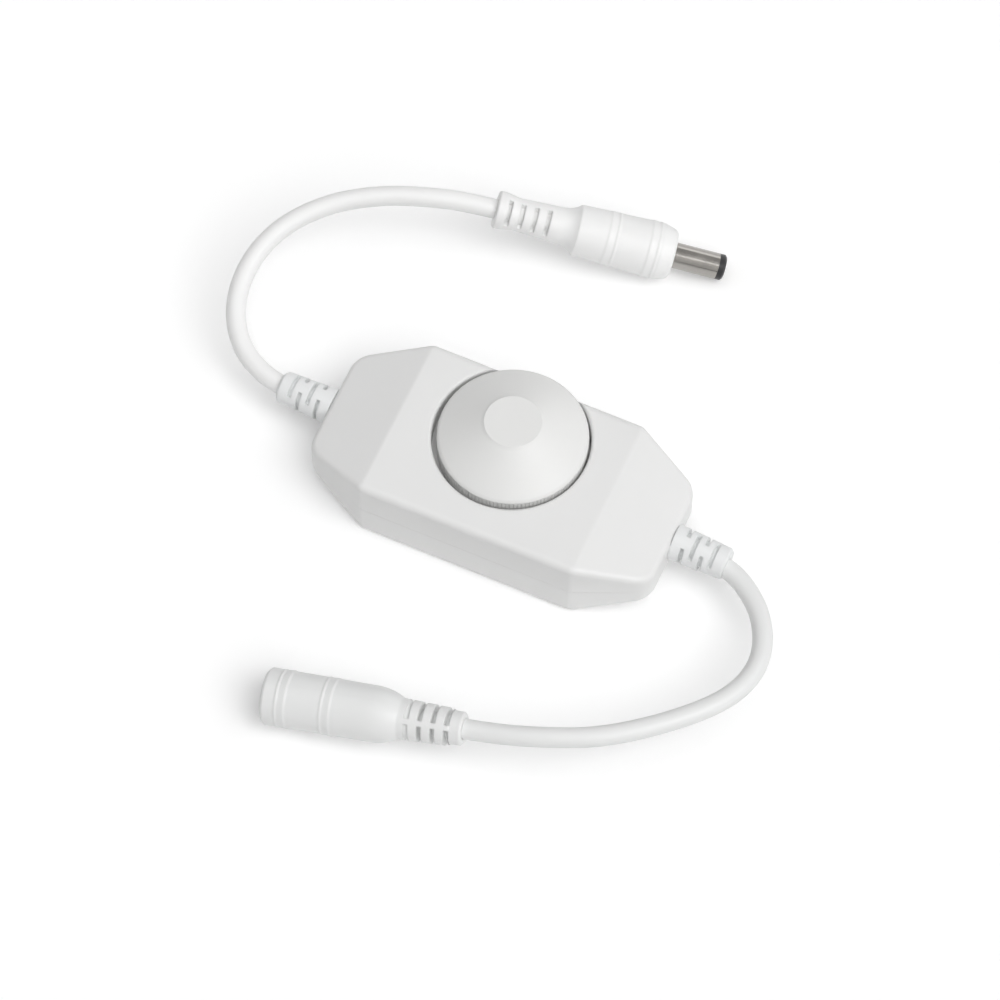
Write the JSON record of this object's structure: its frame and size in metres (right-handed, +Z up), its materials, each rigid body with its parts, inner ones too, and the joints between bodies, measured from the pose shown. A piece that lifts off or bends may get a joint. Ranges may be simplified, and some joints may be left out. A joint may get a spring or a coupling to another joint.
{
  "type": "rotary dimmer",
  "caption": "Inline rotary dimmer: bevelled two-shell housing with a bell-shaped knob, slotted strain reliefs, and short cords ending in a barrel plug and a barrel socket.",
  "frame": {"origin": "centre of the housing's flat bottom, on the surface it lies on", "axes": "+X along the housing towards the socket's cord, +Y to the side where the knob overhangs, +Z up along the knob's axis"},
  "size_m": [0.1362, 0.1386, 0.0246],
  "materials": {
    "housing": "satin",
    "knob": "satin",
    "cord_jacket": "satin",
    "soft_moulding": "matte",
    "nickel": "polished",
    "black_plastic": "satin",
    "steel": "plain",
    "pot_metal": "plain",
    "pot_phenolic": "matte",
    "board": "satin",
    "chip_black": "matte",
    "chip_ceramic": "satin",
    "capacitor_can": "brushed",
    "tinned": "bright",
    "contact_brass": "bright",
    "core_red": "satin",
    "core_black": "satin"
  },
  "bodies": {
    "dimmer": {"lower_housing": "housing", "upper_housing": "housing", "housing_screws": "steel", "pot_base": "pot_phenolic", "pot_track": "black_plastic", "pot_cover": "pot_metal", "pot_terminals": "tinned", "circuit_board": "board", "power_transistor": "chip_black", "transistor_leads": "tinned", "timer_chip": "chip_black", "timer_chip_legs": "tinned", "capacitor_foot": "black_plastic", "smoothing_capacitor": "capacitor_can", "steering_diodes": "chip_black", "chip_resistors": "chip_black", "chip_capacitors": "chip_ceramic", "solder_joints": "tinned", "input_positive_core": "core_red", "input_negative_core": "core_black", "output_positive_core": "core_red", "output_negative_core": "core_black", "input_cord": "cord_jacket", "output_cord": "cord_jacket", "input_strain_relief": "soft_moulding", "output_strain_relief": "soft_moulding", "plug_moulding": "soft_moulding", "plug_barrel": "nickel", "plug_insulator": "black_plastic", "plug_inner_contact": "contact_brass", "socket_moulding": "soft_moulding", "socket_insert": "black_plastic", "socket_centre_pin": "nickel", "socket_spring": "contact_brass"},
    "dial": {"knob": "knob", "pot_shaft": "pot_metal", "pot_rotor": "black_plastic", "pot_wiper": "contact_brass"}
  },
  "joints": [
    {"name": "dial_turn", "type": "hinge", "parent": "dimmer", "child": "dial", "pos_m": [0.00035, 0.00484, 0.0176], "axis": [0, 0, 1], "range_deg": [-140, 140]}
  ]
}
